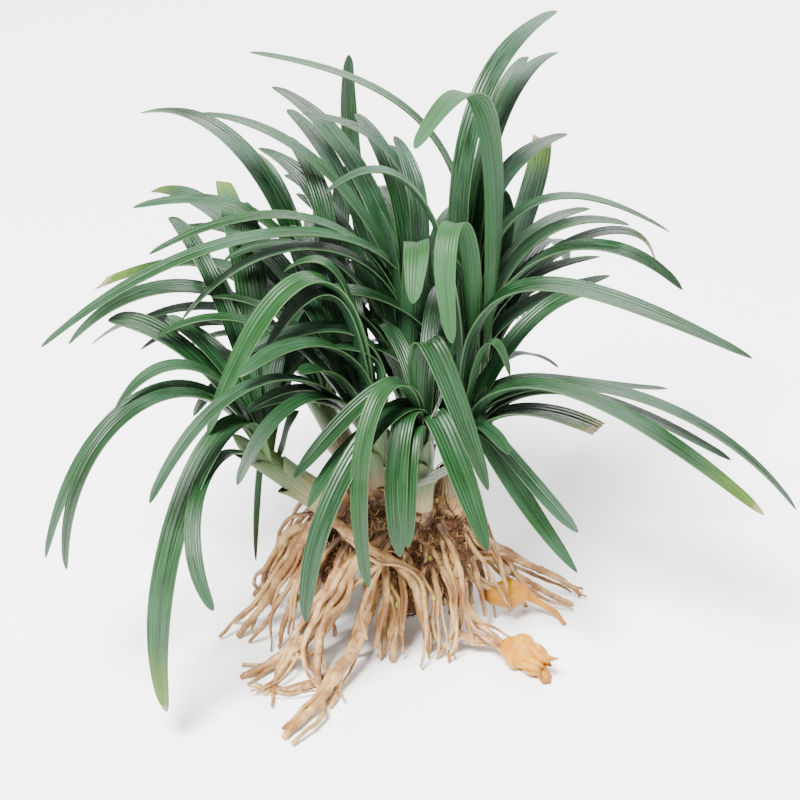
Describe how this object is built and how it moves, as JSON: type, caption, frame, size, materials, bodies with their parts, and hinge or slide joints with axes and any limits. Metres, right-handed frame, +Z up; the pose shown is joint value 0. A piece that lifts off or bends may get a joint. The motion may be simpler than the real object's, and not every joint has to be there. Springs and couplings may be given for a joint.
{
  "type": "bare-root dwarf mondo grass clump",
  "caption": "Clump of strap-leaved dwarf mondo grass, its arching leaves in fans on a matted rootstock that stands on splayed fleshy roots with small tubers.",
  "frame": {"origin": "on the ground, under the middle of the clump's outline", "axes": "+X to the right along the clump's widest reach, +Y to the back, +Z up"},
  "size_m": [0.124, 0.0929, 0.1009],
  "materials": {
    "leaf": "dark green strap leaves with a grey-green bloom and fine pale veins",
    "root": "tan fleshy roots with dark brown fibre round the rootstock",
    "tuber": "amber tubers with a thin wrinkled skin"
  },
  "bodies": {
    "root": {"root_mass": "root", "tuber_right": "tuber", "tuber_front": "tuber", "fan_left": "leaf", "fan_back_left": "leaf", "fan_centre_left": "leaf", "fan_front": "leaf", "fan_right": "leaf", "fan_back": "leaf", "fan_back_right": "leaf"}
  },
  "joints": []
}
